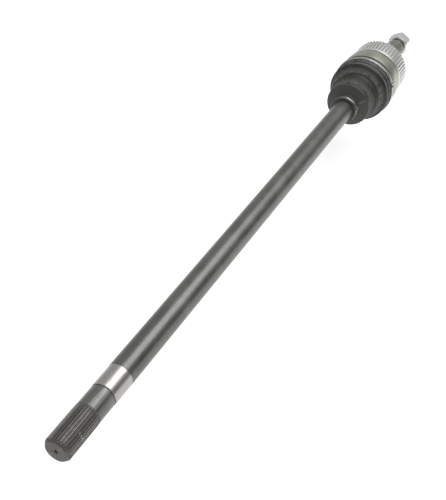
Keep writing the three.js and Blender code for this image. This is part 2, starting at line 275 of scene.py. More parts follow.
axle_shaft = turn("axle_shaft_steel", *stations(shaft_rows, spline_heights), spline_angles)
print("long shaft:", len(axle_shaft.data.vertices), "points")

# %% [markdown]
# ## Ball tracks, seen from the centre of the joint
#
# Six balls roll in curved tracks, cut half in the inner race and half in the bell. Each track is
# part of a ring about the joint's centre. Booleans could cut them, but from the centre every
# surface of the joint is seen exactly once, so one distance per direction describes it all. The
# rows are angles from the axle, and the distance is where a ray meets the sphere or the track.

# %% Rays from the joint centre
PITCH_R = 28
TRACK_DEEP, TRACK_WIDE = 9.7, 11.4
TRACKS = 6
EDGE_EASE = 0.35


def track_hits(psi, angles):
    """Where a ray from the joint centre enters and leaves the nearest track tube, in mm."""
    off = (angles - math.pi / 2) % (2 * math.pi / TRACKS)
    off = np.where(off > math.pi / TRACKS, off - 2 * math.pi / TRACKS, off)
    across = np.sin(psi) * np.sin(off)
    along = np.sqrt(1 - across ** 2)
    a = (along / TRACK_DEEP) ** 2 + (across / TRACK_WIDE) ** 2
    b = -2 * PITCH_R * along / TRACK_DEEP ** 2
    c = (PITCH_R / TRACK_DEEP) ** 2 - 1
    room = b ** 2 - 4 * a * c
    root = np.sqrt(np.maximum(room, 0))
    return (np.where(room > 0, (-b - root) / (2 * a), np.inf),
            np.where(room > 0, (-b + root) / (2 * a), 0))


def soft_max(a, b):
    """The greater of two distances, with the edge between them eased."""
    return (a + b + np.sqrt((a - b) ** 2 + EDGE_EASE ** 2)) / 2


def from_centre(psi, reach, angles):
    """Rows of x and r for distances reach(psi, angles) from the joint centre."""
    psi = np.array(psi)[:, None]
    far = reach(psi, angles[None, :])
    return JOINT_X + far * np.cos(psi), far * np.sin(psi)


near_hit, far_hit = track_hits(np.array([[math.pi / 2]]), np.array([[math.pi / 2]]))
print("a track runs from", round(float(near_hit[0, 0]), 2), "to", round(float(far_hit[0, 0]), 2), "mm")

# %% [markdown]
# ## The inner race and the balls
#
# The inner race is a steel ball with a splined hole and six tracks, ground bright. It slides on
# the shaft's second spline and turns the balls. From the joint's centre its outside is the
# nearest of three things: the sphere, the flat end, or the bottom of a track.

# %% Inner race
RACE_R, RACE_HALF = 25.2, 12.5
BORE_HALF, BORE_TIP_R, BORE_ROOT_R = 11.6, 12.3, 13.2


def race_reach(psi, angles):
    flat_end = RACE_HALF / np.maximum(np.abs(np.cos(psi)), 1e-6)
    outside = np.minimum(RACE_R, flat_end) + 0 * angles
    track_floor = np.minimum(track_hits(psi, angles)[0], 99)
    return -soft_max(-outside, -track_floor)


race_edge = math.acos(RACE_HALF / RACE_R)
race_psi = np.concatenate([np.radians([48, 51, 54, 57]), [race_edge - 0.01, race_edge + 0.01],
                           np.linspace(race_edge + 0.06, math.pi / 2, 12)])
race_psi = np.concatenate([race_psi, math.pi - race_psi[-2::-1]])
race_outside = from_centre(race_psi, race_reach, spline_angles)
race_bore = stations([(JOINT_X + side * BORE_HALF, BORE_TIP_R, BORE_ROOT_R) for side in (-1, 1)],
                     spline_heights)
inner_race = turn("inner_race_steel", *along(race_outside, race_bore), spline_angles, loop=True)
print("inner race:", len(inner_race.data.vertices), "points")

# %% [markdown]
# The six balls are bearing balls. Each is turned from a half circle, like all the rest, round a
# line through its own centre. The rows are dense, so its outline stays round in a close view.

# %% Balls
BALL_R, BALL_ROWS, BALL_COLUMNS = 9, 33, 48


def bearing_ball(number):
    half_circle = np.linspace(0, math.pi, BALL_ROWS)
    rows = [(-BALL_R * math.cos(t), BALL_R * math.sin(t)) for t in half_circle]
    ball = turn_plain(f"joint_ball_{number}", rows, BALL_COLUMNS)
    place = (number - 1) * 2 * math.pi / TRACKS
    centre = Vector((JOINT_X, -PITCH_R * math.sin(place), PITCH_R * math.cos(place)))
    ball.data.transform(Matrix.Translation(centre * MM))
    return ball


joint_balls = [bearing_ball(i + 1) for i in range(TRACKS)]
print("balls on a circle of", 2 * PITCH_R, "mm")

# %% [markdown]
# ## The ball cage
#
# The cage is a thin spherical ring with a window for each ball. It holds the six balls in the
# plane that halves the angle of the joint. The windows are holes through a curved wall, which a
# turned grid cannot have, so here a Boolean modifier is the right tool: six rounded bars are
# taken out of the ring. A small Bevel then breaks the edges of the windows, as tumbling does.

# %% Ball cage
CAGE_OUT, CAGE_IN, CAGE_HALF, CAGE_COLUMNS = 31.5, 25.7, 15, 144
WINDOW_WIDE, WINDOW_HIGH, WINDOW_CORNER = 18.7, 21, 4


def arc_points(radius, start, end, steps=14):
    turns = np.linspace(start, end, steps)
    return [(JOINT_X + radius * math.cos(t), radius * math.sin(t)) for t in turns]


def window_bar(width, height, corner, angle):
    """A bar with rounded corners that stands on the joint's centre and points out at angle."""
    outline = []
    for cx, cy, start in ((1, 1, 0), (-1, 1, 90), (-1, -1, 180), (1, -1, 270)):
        for k in range(7):
            t = math.radians(start + 15 * k)
            outline.append((cx * (width / 2 - corner) + corner * math.cos(t),
                            cy * (height / 2 - corner) + corner * math.sin(t)))
    verts = [((JOINT_X + x) * MM, y * MM, z * MM) for z in (15, 40) for x, y in outline]
    n = len(outline)
    faces = [[i, (i + 1) % n, n + (i + 1) % n, n + i] for i in range(n)]
    faces += [list(range(n)), list(range(n, 2 * n))]
    bar = finish_mesh("window_bar", verts, faces)
    bar.data.transform(Matrix.Rotation(angle, 4, "X"))
    return bar


def settled(piece):
    """Applies the modifiers of a piece and gives it back as a plain mesh of the same name."""
    name = piece.name
    seen = piece.evaluated_get(bpy.context.evaluated_depsgraph_get())
    mesh = bpy.data.meshes.new_from_object(seen)
    bpy.data.objects.remove(piece)
    if "made_at" in mesh.attributes:
        mesh.attributes.remove(mesh.attributes["made_at"])
    return as_piece(name, mesh)


cage_out_edge, cage_in_edge = math.asin(CAGE_HALF / CAGE_OUT), math.asin(CAGE_HALF / CAGE_IN)
upright = math.pi / 2
cage_rows = (arc_points(CAGE_OUT, upright + cage_out_edge, upright - cage_out_edge)
             + arc_points(CAGE_IN, upright - cage_in_edge, upright + cage_in_edge))
ball_cage = turn_plain("ball_cage_steel", cage_rows, CAGE_COLUMNS, loop=True)
window_bars = [window_bar(WINDOW_WIDE, WINDOW_HIGH, WINDOW_CORNER, i * 2 * math.pi / TRACKS)
               for i in range(TRACKS)]
for bar in window_bars:
    cut = ball_cage.modifiers.new("window", "BOOLEAN")
    cut.object, cut.operation, cut.solver = bar, "DIFFERENCE", "EXACT"
broken = ball_cage.modifiers.new("broken edges", "BEVEL")
broken.width, broken.segments, broken.limit_method = 0.3 * MM, 2, "ANGLE"
broken.angle_limit = math.radians(50)
ball_cage = settled(ball_cage)
for bar in window_bars:
    bpy.data.objects.remove(bar)
print("cage faces:", len(ball_cage.data.polygons))

# %% [markdown]
# ## Bent strip: the snap rings and the boot clamps
#
# A snap ring is wire that was bent round and cut, and a clamp is strip that was wrapped round
# and pinched. Both are one flat section pushed along a path, so one tool makes both. A Curve
# object with a bevel profile would do it as well, but it gives less control over the ends.

# %% Strip tool
def bend_strip(name, path, x, width, thick, corner=0.12):
    """Path holds (y, z) points in mm at mid thickness. The strip lies from x to x + width."""
    path = np.array(path, float)
    step = np.gradient(path, axis=0)
    step /= np.linalg.norm(step, axis=1)[:, None]
    normal = np.stack([step[:, 1], -step[:, 0]], axis=1)
    section = ease([(0, -thick / 2, corner), (width, -thick / 2, corner),
                    (width, thick / 2, corner), (0, thick / 2, corner)], steps=2, closed=True)
    rows = [[(x + a, *(p + n * b)) for a, b in section] for p, n in zip(path, normal)]
    verts = (np.array(rows).reshape(-1, 3) * MM).tolist()
    faces = grid_faces(len(path), len(section)).tolist()
    faces += [list(range(len(section))), list(range(len(verts) - len(section), len(verts)))]
    return finish_mesh(name, verts, faces)


def round_path(radius, start, end, steps):
    turns = np.linspace(start, end, steps)
    return np.stack([radius * np.cos(turns), radius * np.sin(turns)], axis=1)


print("strip tool ready")

# %% [markdown]
# Two snap rings hold the inner race on the shaft. Each is a flat spring ring with an open mouth,
# so that pliers can spread it over the end of the shaft.

# %% Snap rings
RING_MIDDLE_R, RING_THICK, RING_SIDE_GAP, HALF_MOUTH = 13.2, 3.2, 0.3, 0.27


def snap_ring(name, groove):
    path = round_path(RING_MIDDLE_R, upright + HALF_MOUTH, upright + 2 * math.pi - HALF_MOUTH, 90)
    return bend_strip(name, path, groove + RING_SIDE_GAP, RING_WIDTH, RING_THICK, corner=0.35)


stop_ring = snap_ring("shaft_stop_ring_steel", STOP_GROOVE)
circlip = snap_ring("shaft_circlip_steel", CLIP_GROOVE)
print("snap rings at", STOP_GROOVE, "and", CLIP_GROOVE, "mm")

# %% [markdown]
# ## The bell and its stub
#
# The bell is the outer race of the joint. It is one forging with the stub that carries the wheel
# hub. Outside it has a seat for the boot, a turned band, a groove, a seat for the speed ring, a
# shoulder for the hub bearing, a spline and a thread. Inside are the cavity and six tracks.
#
# It starts at the bottom of the cavity, comes out over the mouth and ends in the centre drilling
# of the stub. The thread is a radius that also follows the angle, one pitch for each turn.

# %% Bell housing
CAVITY_R, TRACK_END = 32, 21
CONE_NORMAL, CONE_DISTANCE = (0.7814, 0.6240), 9.65
THREAD_R, THREAD_DEEP, THREAD_PITCH = 10.95, 0.85, 1.5
THREAD_START, THREAD_END = 973, 996.4
BELL_FLANK = [(0.0, 0.0), (0.1, 0.0), (0.15, 0.08), (0.215, 0.5), (0.28, 0.93), (0.33, 1.0)]
bell_angles, bell_heights = toothed(SPLINE_TEETH, BELL_FLANK)


def cavity_reach(psi, angles):
    lean = CONE_NORMAL[0] * np.cos(psi) + CONE_NORMAL[1] * np.sin(psi)
    cone = np.where(lean > 0.05, CONE_DISTANCE / np.maximum(lean, 0.05), 0)
    end_wall = np.where(np.cos(psi) > 0.01, TRACK_END / np.maximum(np.cos(psi), 0.01), np.inf)
    track = np.minimum(track_hits(psi, angles)[1], end_wall)
    return soft_max(np.maximum(CAVITY_R, cone) + 0 * angles, track)


def threaded(rows, angles, start, end, crest, deep):
    """Cuts a right-hand thread into stations between start and end, fading at both ends."""
    x, r = rows
    turn_share = (x / THREAD_PITCH - angles[None, :] / (2 * math.pi)) % 1
    flank = np.clip(np.abs(2 * turn_share - 1) * 1.3 - 0.15, 0, 1)
    fade = np.clip((x - start) / 1.2, 0, 1) * np.clip((end - x) / 1.2, 0, 1)
    inside = (x > start) & (x < end)
    return x, np.where(inside, crest - deep * flank * fade, r)


cavity = from_centre(np.radians(np.concatenate([np.linspace(3, 110, 50), np.linspace(111.2, 115, 5)])),
                     cavity_reach, bell_angles)
bell_rows = plain([(804, 38, 0), (804, 44, 0.7), (816, 44, 0.5), (816, 46.8, 0.6), (841.5, 46.8, 1.4),
                   (841.5, 41, 0.8), (847.7, 41, 0.3), (847.7, 39, 0.3), (882, 39, 0.4),
                   (883, 37.5, 0.8), (884.2, 29, 2.5), (888, 25, 1), (890, 25, 0.5),
                   (890, 16.4, 0.9), (891.4, 15.2, 0.3), (925, 15.2, 0)])
bell_rows += [(926, 14.2, 15.1), (927, 13.6, 15), (965, 13.6, 15), (966.5, 13.6, 14.6),
              (967.8, 13.6, 13.7)]
bell_rows += plain([(968, 13.5, 0), (969.6, 10.4, 0.4), (970.5, 10.1, 0.4), (972, 10.1, 0.3),
                    (973, 10.95, 0)])
thread_rows = [(x, THREAD_R, THREAD_R)
               for x in np.arange(THREAD_START + 0.25, THREAD_END - 0.1, THREAD_PITCH / 6)]
tail_rows = plain([(996.4, 10.95, 0), (998, 9.6, 0.3), (998, 2.9, 0.15), (997.75, 2.45, 0.15),
                   (995.2, 1, 0.2), (993, 1, 0.1), (992.4, 0, 0)])
stub_thread = threaded(stations(thread_rows, bell_heights * 0), bell_angles, THREAD_START,
                       THREAD_END, THREAD_R, THREAD_DEEP)
cavity_pole = stations([(JOINT_X + CAVITY_R, 0, 0)], bell_heights)
bell = turn("bell_housing_steel", *along(cavity_pole, cavity, stations(bell_rows, bell_heights),
                                         stub_thread, stations(tail_rows, bell_heights)),
            bell_angles)
print("bell:", len(bell.data.vertices), "points")

# %% [markdown]
# ## The speed ring
#
# A sensor beside this ring counts its teeth as the wheel turns. The ring is pressed on the back
# of the bell. It has a plain lip on the joint's side and 52 straight teeth behind the lip.

# %% Speed ring
RING_FLANK = [(0.0, 0.0), (0.15, 0.0), (0.18, 0.06), (0.21, 0.5), (0.24, 0.92), (0.28, 1.0)]
RING_TEETH = 52
ring_angles, ring_heights = toothed(RING_TEETH, RING_FLANK)
ring_rows = plain([(848.5, 39.3, 0), (848, 39.8, 0.1), (848, 44.6, 0.5), (853.2, 44.6, 0)])
ring_rows += [(853.4, 44.4, 44.6), (853.5, 43.1, 44.6), (853.8, 42.9, 44.6), (885.2, 42.9, 44.6),
              (885.7, 42.8, 44.3), (886, 42.4, 43.8)]
ring_rows += plain([(886, 39.8, 0.1), (885.5, 39.3, 0)])
speed_ring = turn("speed_ring_steel", *stations(ring_rows, ring_heights), ring_angles, loop=True)
print("speed ring:", RING_TEETH, "teeth,", len(speed_ring.data.vertices), "points")

# %% [markdown]
# ## The hub nut
#
# A nut is hexagon bar that was turned at both faces. Where the cone of the turned chamfer meets a
# flat, it leaves a curved edge. That edge falls between the rows of a plain grid, so the rows
# bend: in each column the chamfer's row sits exactly where the cone meets the flat. A nut stops
# wherever it is tight, so its corners stand at an angle of their own, NUT_TURN.

# %% Hub nut
NUT_NEAR, NUT_FAR, NUT_HALF_FLATS, NUT_FACE_R = 974, 995, 16, 15.3
NUT_CORNER_R, CHAMFER_SLOPE, NUT_COLUMNS = 18.15, 1.62, 168
NUT_TURN = math.radians(33)
nut_angles = even_angles(NUT_COLUMNS)
corner_off = (nut_angles - NUT_TURN) % (math.pi / 3) - math.pi / 6
nut_r = np.minimum(NUT_HALF_FLATS / np.cos(corner_off), NUT_CORNER_R)
chamfer_depth = (nut_r - NUT_FACE_R) / CHAMFER_SLOPE


def nut_row(x, r):
    return [np.broadcast_to(part, (1, NUT_COLUMNS)).astype(float) for part in (x, r)]


def nut_face(x, inward):
    """The flat face and its chamfer, from the bore out to the flats."""
    return [nut_row(x, NUT_BORE_R), nut_row(x, NUT_FACE_R - 0.25), nut_row(x + 0.07 * inward, NUT_FACE_R),
            nut_row(x + chamfer_depth * inward, nut_r - 0.08),
            nut_row(x + (chamfer_depth + 0.12) * inward, nut_r)]


NUT_BORE_R, BORE_CHAMFER, BORE_THREAD_R = 12.8, 1.2, THREAD_R + 0.15
bore_start, bore_end = NUT_NEAR + BORE_CHAMFER, NUT_FAR - BORE_CHAMFER
bore_x = np.arange(bore_end - 0.05, bore_start, -THREAD_PITCH / 6)
bore_rows = [(x, BORE_THREAD_R, BORE_THREAD_R) for x in bore_x]
nut_bore = threaded(stations(bore_rows, np.zeros(NUT_COLUMNS)), nut_angles, bore_start, bore_end,
                    BORE_THREAD_R, THREAD_DEEP)
hub_nut = turn("hub_nut_steel", *along(
    *nut_face(NUT_NEAR, 1), *nut_face(NUT_FAR, -1)[::-1], nut_row(bore_end, THREAD_R + 0.2), nut_bore,
    nut_row(bore_start, THREAD_R + 0.2)), nut_angles, loop=True)
print("hub nut:", 2 * NUT_HALF_FLATS, "mm across its flats")

# %% [markdown]
# ## The rubber boot
#
# The boot keeps grease in and dirt out, and folds as the joint bends. It is one moulding with a
# small cuff on the shaft, three folds, and a large cuff on the bell.
#
# The joint bends in four small steps, from the shaft to the inner fold, the cage, the outer fold
# and the bell. A piece can bend across one step, so the boot is cut in six lengths on its straight
# flanks, where the cut doesn't show. The inside of the folds is the outside moved in by the wall.

# %% Boot outline
BOOT_FOLDS = [(736, 18.8, 1.2), (741.3, 34.5, 2.6), (754, 27, 2.2), (765.4, 37.9, 2.8),
              (777, 33, 2.2), (786.7, 46.7, 3.2), (799, 44, 1.6), (802.9, 47.15, 1)]
BOOT_WALL = 2.0


def inset(corners, wall):
    """The outline moved in by the wall. The two end corners only give their neighbours a side."""
    moved = []
    for (ax, ar, _), (bx, br, radius), (cx, cr, _) in zip(corners, corners[1:], corners[2:]):
        before = Vector((bx - ax, br - ar)).normalized()
        after = Vector((cx - bx, cr - br)).normalized()
        inward = (Vector((before.y, -before.x)) + Vector((after.y, -after.x))).normalized()
        shift = inward * (wall / inward.dot(Vector((before.y, -before.x))))
        outer_bend = before.cross(after) < 0
        radius = max(radius - wall, 0.5) if outer_bend else radius + wall
        moved.append((bx + shift.x, br + shift.y, radius))
    return moved


boot_outside = ease([(723.5, 16, 0), (723.5, 19, 0.8), (725.3, 19, 0.5), (725.7, 18.45, 0.2),
                     (731.3, 18.45, 0.2), (731.7, 19.2, 0.5), (734.4, 19.2, 0.8)] + BOOT_FOLDS
                    + [(804.4, 47.15, 0.2), (811.8, 47.15, 0.3), (812.3, 48.1, 0.5),
                       (815, 48.1, 0.9), (815, 45, 0)], steps=7)
boot_inside = ease([(723.5, 15.3, 0), (737.5, 15.3, 2.5)] + inset(BOOT_FOLDS, BOOT_WALL)
                   + [(803.7, 41.9, 0.4), (803.7, 44.3, 0.3), (815, 44.3, 0)], steps=7)
print("boot outline:", len(boot_outside), "points outside,", len(boot_inside), "inside")

# %% Boot lengths
BOOT_COLUMNS = 180


def stretch(points, start, end):
    """The part of an outline between two stations, with a new point at each cut."""
    kept = [p for p in points if start < p[0] < end]
    xs, rs = [p[0] for p in points], [p[1] for p in points]
    if start > xs[0]:
        kept.insert(0, (start, float(np.interp(start, xs, rs))))
    else:
        kept = [p for p in points if p[0] <= start] + kept
    if end < xs[-1]:
        kept.append((end, float(np.interp(end, xs, rs))))
    else:
        kept += [p for p in points if p[0] >= end]
    return kept


def boot_length(name, start, end):
    loop = stretch(boot_outside, start, end) + stretch(boot_inside, start, end)[::-1]
    return turn_plain(name, loop, BOOT_COLUMNS, loop=True)


BOOT_CUTS = [723.5, 757, 770, 781, 792, 802, 815]
BOOT_NAMES = ["boot_small_cuff", "boot_first_bend", "boot_second_bend", "boot_third_bend",
              "boot_fourth_bend", "boot_large_cuff"]
boot = [boot_length(*length) for length in zip(BOOT_NAMES, BOOT_CUTS, BOOT_CUTS[1:])]
print("boot lengths:", ", ".join(f"{piece.name} {len(piece.data.vertices)}" for piece in boot))

# %% [markdown]
# ## The boot clamps
#
# Each clamp is a strip of stainless steel that goes once round the cuff and then overlaps itself.
# On the outer layer stands an ear, which pliers pinch to pull the band tight. The path below says
# all of that: a circle, a small step up onto the first layer, and the ear on the way.

# %% Clamps
EAR = np.array([(-4.6, 0), (-3.6, 0.02), (-2.7, 0.25), (-2.2, 0.8), (-2.35, 1.4), (-2.6, 1.9),
                (-2.3, 2.35), (-1.6, 2.45), (-0.8, 2.2), (0, 2.05)])
EAR = np.concatenate([EAR, EAR[-2::-1] * (-1, 1)])


def smoothed(points):
    for _ in range(2):
        ends = points[:1], points[-1:]
        points = np.stack([0.75 * points[:-1] + 0.25 * points[1:],
                           0.25 * points[:-1] + 0.75 * points[1:]], axis=1).reshape(-1, 2)
        points = np.concatenate([ends[0], points, ends[1]])
    return points


EAR_AT, EAR_LEAD = math.radians(164), math.radians(25)


def boot_clamp(name, x, width, inner_r, thick, ear_size):
    """The inner layer starts EAR_LEAD before the ear, and the outer one ends well past it."""
    begin = EAR_AT - EAR_LEAD
    low, high = inner_r + thick / 2, inner_r + 1.5 * thick + 0.06
    first = round_path(low, begin, begin + 2 * math.pi - 0.2, 120)
    ear = smoothed(EAR * ear_size)
    ear_turn = EAR_AT + 2 * math.pi + ear[:, 0] / high
    ear_path = np.stack([(high + ear[:, 1]) * np.cos(ear_turn), (high + ear[:, 1]) * np.sin(ear_turn)],
                        axis=1)
    lead = round_path(high, begin + 2 * math.pi - 0.05, ear_turn[0] - 0.05, 8)
    tail = round_path(high, ear_turn[-1] + 0.05, ear_turn[-1] + 0.9, 24)
    return bend_strip(name, np.concatenate([first, lead, ear_path, tail]), x, width, thick)


small_clamp = boot_clamp("small_boot_clamp_band", 726, 5, 18.6, 0.4, 0.66)
large_clamp = boot_clamp("large_boot_clamp_band", 804.8, 6.6, 47.3, 0.5, 1.0)
print("clamps:", len(small_clamp.data.vertices), "and", len(large_clamp.data.vertices), "points")

# %% [markdown]
# ## Small tools for materials
#
# Each material below is a short network of nodes. One helper makes a node, sets it and wires its
# inputs, and another makes a node group with named sockets. Effects that several finishes share,
# such as lathe marks and worn edges, become groups, and each material gives them its own values.

# %% Node helpers
def feed(tree, socket, value):
    """Wires a socket to another one, or sets it to a plain value."""
    if isinstance(value, bpy.types.NodeSocket):
        tree.links.new(value, socket)
    else:
        socket.default_value = value


def add_node(tree, kind, inputs=None, **settings):
    made = tree.nodes.new(kind)
    for key, value in settings.items():
        setattr(made, key, value)
    for socket, value in (inputs or {}).items():
        feed(tree, made.inputs[socket], value)
    return made


def calc(tree, operation, a, b):
    return add_node(tree, "ShaderNodeMath", {0: a, 1: b}, operation=operation).outputs[0]


def times(tree, a, b):
    return calc(tree, "MULTIPLY", a, b)


def plus(tree, a, b):
    return calc(tree, "ADD", a, b)


def ramp(tree, value, low, high, to_low=0.0, to_high=1.0):
    made = add_node(tree, "ShaderNodeMapRange", {0: value, 1: low, 2: high, 3: to_low, 4: to_high},
                    interpolation_type="SMOOTHSTEP")
    return made.outputs[0]


def blend_colours(tree, share, a, b):
    made = add_node(tree, "ShaderNodeMix", {0: share}, data_type="RGBA")
    for socket, colour in ((6, a), (7, b)):
        feed(tree, made.inputs[socket], (*colour, 1) if isinstance(colour, tuple) else colour)
    return made.outputs[2]


def new_group(name, inputs, outputs):
    tree = bpy.data.node_groups.new(name, "ShaderNodeTree")
    for label, kind, value in inputs:
        socket = tree.interface.new_socket(name=label, in_out="INPUT",
                                           socket_type="NodeSocket" + kind)
        if value is not None:
            socket.default_value = value
    for label, kind in outputs:
        tree.interface.new_socket(name=label, in_out="OUTPUT", socket_type="NodeSocket" + kind)
    return tree, tree.nodes.new("NodeGroupInput").outputs, tree.nodes.new("NodeGroupOutput").inputs


def use_group(tree, group, **values):
    made = tree.nodes.new("ShaderNodeGroup")
    made.node_tree = group
    for key, value in values.items():
        feed(tree, made.inputs[key], value)
    return made.outputs


print("node helpers ready")

# %% [markdown]
# ## Shared effect: where on the axle
#
# Lathe marks run round the axle and grinding grain runs across it, so most finishes need to know
# how far along, how far out and how far round a point is. The group reads the place where the
# point was made, which stays put when the rubber bends, and gives all three in millimetres.

# %% Group: where on the axle
where_group, given, result = new_group(
    "where on the axle", [], [("Place", "Vector"), ("Along", "Float"), ("Out", "Float"),
                              ("Unrolled", "Vector")])
place = add_node(where_group, "ShaderNodeAttribute", attribute_name="made_at").outputs["Vector"]
xyz = add_node(where_group, "ShaderNodeSeparateXYZ", {0: place}).outputs
flat = add_node(where_group, "ShaderNodeCombineXYZ", {1: xyz[1], 2: xyz[2]}).outputs[0]
out = add_node(where_group, "ShaderNodeVectorMath", {0: flat}, operation="LENGTH").outputs["Value"]
unit = add_node(where_group, "ShaderNodeVectorMath", {0: flat}, operation="NORMALIZE").outputs[0]
unit_xyz = add_node(where_group, "ShaderNodeSeparateXYZ", {0: unit}).outputs
unrolled = add_node(where_group, "ShaderNodeCombineXYZ",
                    {0: xyz[0], 1: unit_xyz[1], 2: unit_xyz[2]}).outputs[0]
for socket, value in (("Place", place), ("Along", xyz[0]), ("Out", out), ("Unrolled", unrolled)):
    where_group.links.new(value, result[socket])
print("group made:", where_group.name)

# %% [markdown]
# ## Shared effect: lathe marks
#
# A turned or ground surface is covered with very fine rings. Noise that is stretched until it
# hardly changes round the axle, and changes fast along it, gives rings that vary in depth and
# break up a little. The group gives a height for bump and a shade for colour and gloss.
#
# This noise has straight joins at whole numbers. Half a step is added to the two directions
# round the axle, which keeps the joins outside the circle that a turn draws. Without it they
# show as a cross on flat faces.

# %% Group: lathe marks
lathe_group, given, result = new_group(
    "lathe marks", [("Unrolled", "Vector", None), ("Out", "Float", 0.0), ("Pitch", "Float", 0.4),
                    ("Wander", "Float", 0.45)], [("Height", "Float"), ("Shade", "Float")])
rate = calc(lathe_group, "DIVIDE", 1.0, given["Pitch"])
axial = add_node(lathe_group, "ShaderNodeSeparateXYZ", {0: given["Unrolled"]}).outputs
HALF_STEP = 0.5
stretched = add_node(lathe_group, "ShaderNodeCombineXYZ", {
    0: times(lathe_group, plus(lathe_group, axial[0], given["Out"]), rate),
    1: plus(lathe_group, times(lathe_group, axial[1], given["Wander"]), HALF_STEP),
    2: plus(lathe_group, times(lathe_group, axial[2], given["Wander"]), HALF_STEP),
}).outputs[0]
fine = add_node(lathe_group, "ShaderNodeTexNoise", {"Vector": stretched, "Scale": 1.0, "Detail": 3.0,
                                                   "Roughness": 0.65}).outputs[0]
slow = add_node(lathe_group, "ShaderNodeTexNoise", {"Vector": stretched, "Scale": 0.13,
                                                   "Detail": 2.0}).outputs[0]
shade = ramp(lathe_group, times(lathe_group, plus(lathe_group, fine, slow), 0.5), 0.35, 0.65)
lathe_group.links.new(fine, result["Height"])
lathe_group.links.new(shade, result["Shade"])
print("group made:", lathe_group.name)

# %% [markdown]
# ## Shared effect: patches, specks and worn edges
#
# Oil film, scale and dust come in soft patches of many sizes, and forged skin has small pits.
# Both are noise of the right size, pushed to contrast. Edges that stand proud get rubbed bright.
# Cycles can tell them by Pointiness, which is above a half where the surface bulges. A little
# noise breaks the worn line, because real wear is never even. Where Pointiness is below a half
# lies a hollow, and that second mask is used to darken hollows as painted shade.

# %% Groups: patches, specks, worn edges
patch_group, given, result = new_group(
    "soft patches", [("Place", "Vector", None), ("Size", "Float", 20.0), ("Cover", "Float", 0.5),
                     ("Softness", "Float", 0.15), ("Detail", "Float", 4.0)], [("Mask", "Float")])
noise = add_node(patch_group, "ShaderNodeTexNoise", {
    "Vector": given["Place"], "Scale": calc(patch_group, "DIVIDE", 1.0, given["Size"]),
    "Detail": given["Detail"], "Roughness": 0.6}).outputs[0]
middle = calc(patch_group, "SUBTRACT", 0.85, times(patch_group, given["Cover"], 0.7))
patch_group.links.new(
    ramp(patch_group, noise, calc(patch_group, "SUBTRACT", middle, given["Softness"]),
         plus(patch_group, middle, given["Softness"])), result["Mask"])

speck_group, given, result = new_group(
    "specks", [("Place", "Vector", None), ("Size", "Float", 1.0), ("Cover", "Float", 0.3)],
    [("Mask", "Float")])
cells = add_node(speck_group, "ShaderNodeTexVoronoi", {
    "Vector": given["Place"], "Scale": calc(speck_group, "DIVIDE", 1.0, given["Size"])})
chosen = add_node(speck_group, "ShaderNodeSeparateXYZ", {0: cells.outputs["Color"]}).outputs[0]
dot = ramp(speck_group, cells.outputs["Distance"], 0.12, 0.42, 1.0, 0.0)
keep = calc(speck_group, "LESS_THAN", chosen, given["Cover"])
speck_group.links.new(times(speck_group, dot, keep), result["Mask"])

wear_and_shade_group, given, result = new_group(
    "edge wear and painted shade", [("Place", "Vector", None), ("Reach", "Float", 0.06), ("Grain", "Float", 1.5)],
    [("Edge", "Float"), ("Crevice", "Float")])
bulge = add_node(wear_and_shade_group, "ShaderNodeNewGeometry").outputs["Pointiness"]
broken = add_node(wear_and_shade_group, "ShaderNodeTexNoise", {
    "Vector": given["Place"], "Scale": calc(wear_and_shade_group, "DIVIDE", 1.0, given["Grain"]),
    "Detail": 3.0}).outputs[0]
FLAT = 0.5
start = plus(wear_and_shade_group, FLAT, times(wear_and_shade_group, given["Reach"], 0.15))
edge = ramp(wear_and_shade_group, bulge, start, plus(wear_and_shade_group, FLAT, given["Reach"]))
ragged = times(wear_and_shade_group, edge, ramp(wear_and_shade_group, broken, 0.3, 0.55, 0.35, 1.0))
wear_and_shade_group.links.new(ragged, result["Edge"])
# Crevice marks hollows, where Pointiness is below a half; the finishes darken them as painted shade
deep = calc(wear_and_shade_group, "SUBTRACT", FLAT, given["Reach"])
hollow = ramp(wear_and_shade_group, bulge, deep, FLAT, 1.0, 0.0)
wear_and_shade_group.links.new(hollow, result["Crevice"])
print("groups made:", patch_group.name, "/", speck_group.name, "/", wear_and_shade_group.name)

# %% [markdown]
# ## A finish, in general
#
# Every finish ends in one Principled BSDF. Numbers that are the same all over are set on its own
# sockets, and only what changes over the surface is wired in: colour, roughness and bump. The
# colour is built like paint: a base, then thin coats, each with a mask and a strength.

# %% Finish helpers
def new_finish(name, **constants):
    material = bpy.data.materials.new(name)
    material.use_nodes = True
    tree = material.node_tree
    shader = tree.nodes["Principled BSDF"]
    for key, value in constants.items():
        shader.inputs[key.replace("_", " ")].default_value = value
    return material, tree, shader, use_group(tree, where_group)


def patches(tree, where, size, cover=0.5, softness=0.2):
    return use_group(tree, patch_group, Place=where["Place"], Size=size, Cover=cover,
                     Softness=softness)["Mask"]


def specks(tree, where, size, cover):
    return use_group(tree, speck_group, Place=where["Place"], Size=size, Cover=cover)["Mask"]


def lathe_rings(tree, where, pitch):
    return use_group(tree, lathe_group, Unrolled=where["Unrolled"], Out=where["Out"], Pitch=pitch)


def wear_and_shade(tree, where, reach=0.05, grain=1.5):
    return use_group(tree, wear_and_shade_group, Place=where["Place"], Reach=reach, Grain=grain)


def coats(tree, colour, *layers):
    """Each layer is (mask, strength, colour)."""
    for mask, strength, tint in layers:
        colour = blend_colours(tree, times(tree, mask, strength), colour, tint)
    return colour


def uneven(tree, base, share, a, b):
    """A roughness that rises from base where the masks a and b are strong."""
    return plus(tree, base, times(tree, plus(tree, a, b), share))


def surface(tree, shader, colour, roughness, height, depth):
    """Wires what changes over the surface. The depth of the bump is in mm."""
    tree.links.new(colour, shader.inputs["Base Color"])
    tree.links.new(roughness, shader.inputs["Roughness"])
    made = add_node(tree, "ShaderNodeBump", {"Height": height, "Strength": 1.0, "Distance": depth * MM})
    tree.links.new(made.outputs[0], shader.inputs["Normal"])


print("finish helpers ready")
